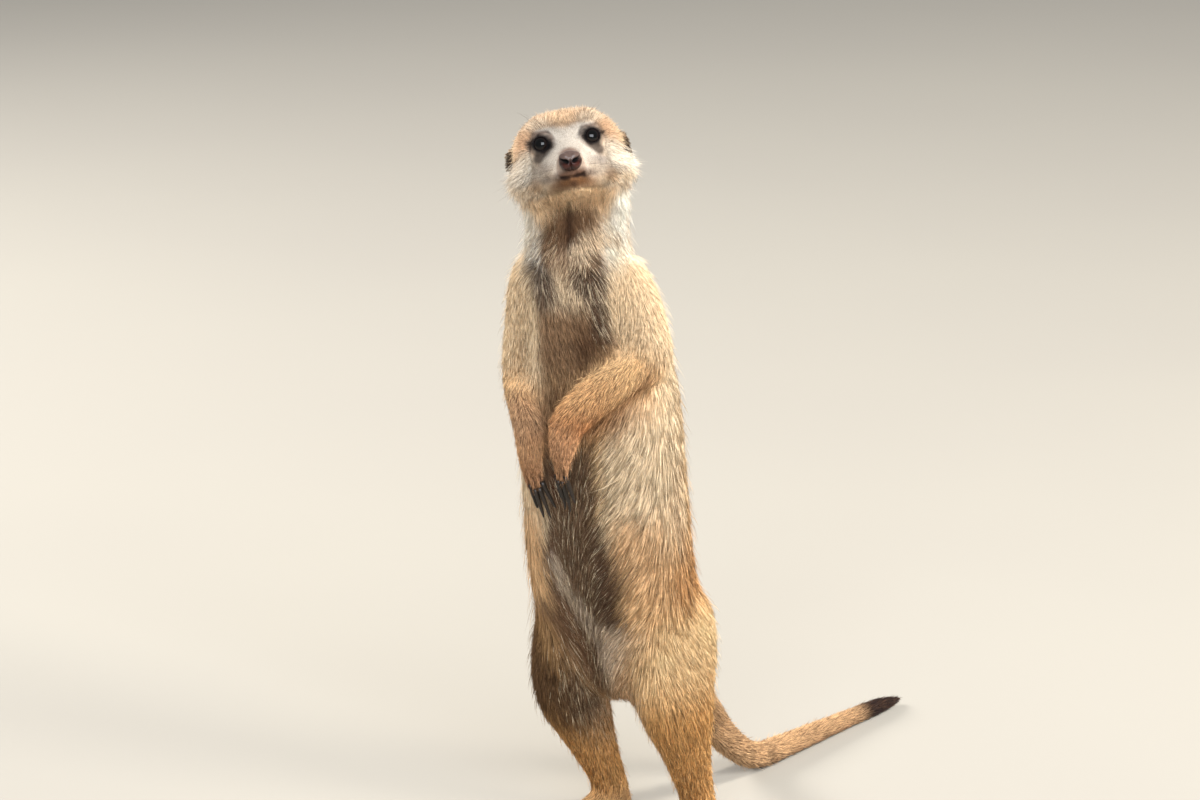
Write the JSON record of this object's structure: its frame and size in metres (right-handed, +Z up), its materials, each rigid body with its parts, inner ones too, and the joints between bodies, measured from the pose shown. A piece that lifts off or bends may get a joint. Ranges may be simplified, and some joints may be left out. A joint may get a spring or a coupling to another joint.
{
  "type": "meerkat",
  "caption": "Life-size meerkat standing upright on its hind feet, head turned to its left, forepaws hanging over the belly and tail laid on the floor behind.",
  "frame": {"origin": "on the floor under the middle of the whole animal's box, between the feet and the tip of the tail", "axes": "+Z up, -Y the way the body faces, +X towards the animal's own left"},
  "size_m": [0.0756, 0.2888, 0.3057],
  "materials": {
    "sand": "grizzled golden-tan fur",
    "cream": "soft cream and tan fur",
    "brown": "short dark brown fur",
    "nose_leather": "moist dark nose leather",
    "eye_dark": "wet dark eye",
    "claw_horn": "satin black horn"
  },
  "bodies": {
    "root": {"head": "cream", "neck": "cream", "trunk": "sand", "ear_left": "brown", "ear_right": "brown", "eye_left": "eye_dark", "eye_right": "eye_dark", "nose": "nose_leather", "upper_arm_left": "cream", "forearm_left": "sand", "hand_left": "sand", "upper_arm_right": "cream", "forearm_right": "sand", "hand_right": "sand", "thigh_left": "sand", "shin_left": "sand", "foot_left": "sand", "thigh_right": "sand", "shin_right": "sand", "foot_right": "sand", "tail_1": "sand", "tail_2": "sand", "tail_3": "sand", "tail_4": "brown", "claw_fore_left_1": "claw_horn", "claw_fore_left_2": "claw_horn", "claw_fore_left_3": "claw_horn", "claw_fore_left_4": "claw_horn", "claw_fore_right_1": "claw_horn", "claw_fore_right_2": "claw_horn", "claw_fore_right_3": "claw_horn", "claw_fore_right_4": "claw_horn", "claw_hind_left_1": "claw_horn", "claw_hind_left_2": "claw_horn", "claw_hind_left_3": "claw_horn", "claw_hind_left_4": "claw_horn", "claw_hind_right_1": "claw_horn", "claw_hind_right_2": "claw_horn", "claw_hind_right_3": "claw_horn", "claw_hind_right_4": "claw_horn"}
  },
  "joints": []
}
